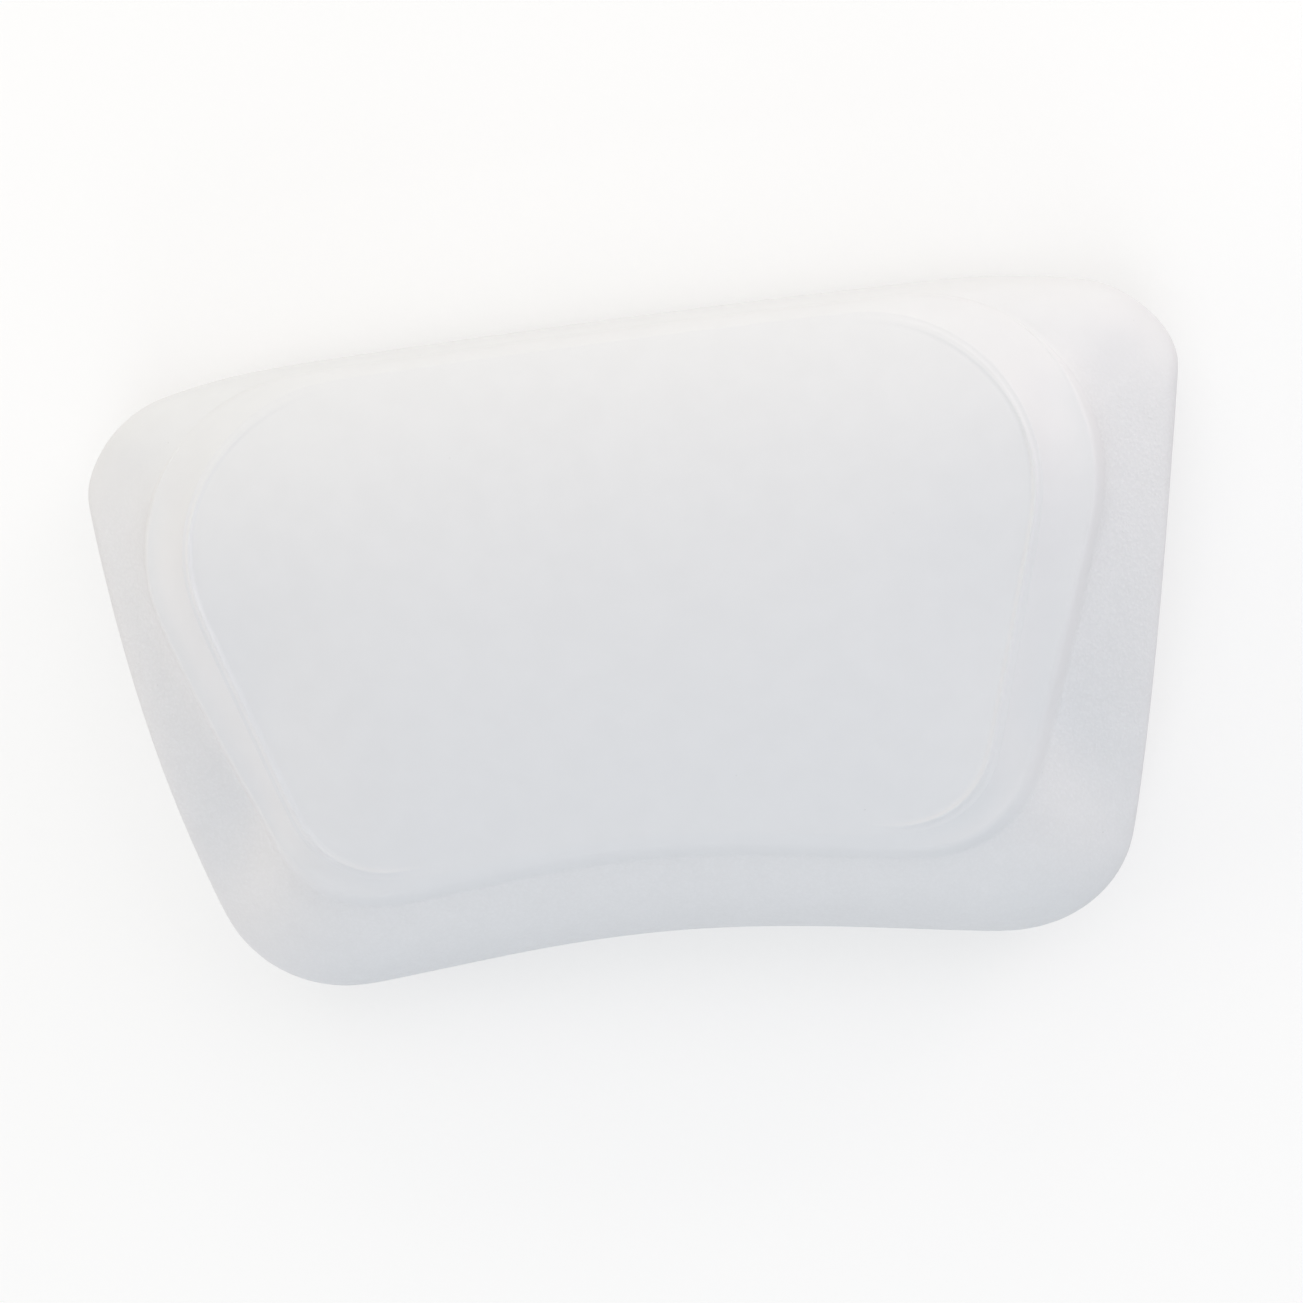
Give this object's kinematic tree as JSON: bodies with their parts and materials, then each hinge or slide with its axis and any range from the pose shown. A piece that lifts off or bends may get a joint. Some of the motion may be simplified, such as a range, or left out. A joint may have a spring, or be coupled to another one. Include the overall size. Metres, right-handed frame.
{
  "type": "bath pillow",
  "caption": "Moulded foam bath pillow with a beaded head rest, a grained flange and a hollowed lower edge, on swivelling clear suction cups that hold it to the tub wall.",
  "frame": {"origin": "on the plane that the suction cups' rims rest on, below the middle of the cushion's box", "axes": "+X across the width, to the right as seen from the front; +Y to the wide top edge; +Z out of the front of the head rest, away from the tub wall"},
  "size_m": [0.3084, 0.1822, 0.0667],
  "materials": {
    "foam": "satin skin, fine leather grain on the flange",
    "plate": "moulded, fine matt",
    "cap": "moulded, fine matt",
    "cup": "clear, glossy"
  },
  "bodies": {
    "pillow": {"cushion": "foam", "insert_plate": "plate", "socket_cap_top_left": "cap", "socket_cap_top_right": "cap", "socket_cap_bottom_left": "cap", "socket_cap_bottom_right": "cap"},
    "cup_top_left": {"suction_cup_top_left": "cup"},
    "cup_top_right": {"suction_cup_top_right": "cup"},
    "cup_bottom_left": {"suction_cup_bottom_left": "cup"},
    "cup_bottom_right": {"suction_cup_bottom_right": "cup"}
  },
  "joints": [
    {"name": "swivel_top_left", "type": "hinge", "parent": "pillow", "child": "cup_top_left", "pos_m": [-0.098, 0.046, 0.01], "axis": [0, 0, 1], "continuous": true},
    {"name": "swivel_top_right", "type": "hinge", "parent": "pillow", "child": "cup_top_right", "pos_m": [0.098, 0.046, 0.01], "axis": [0, 0, 1], "continuous": true},
    {"name": "swivel_bottom_left", "type": "hinge", "parent": "pillow", "child": "cup_bottom_left", "pos_m": [-0.072, -0.035, 0.01], "axis": [0, 0, 1], "continuous": true},
    {"name": "swivel_bottom_right", "type": "hinge", "parent": "pillow", "child": "cup_bottom_right", "pos_m": [0.072, -0.035, 0.01], "axis": [0, 0, 1], "continuous": true}
  ]
}
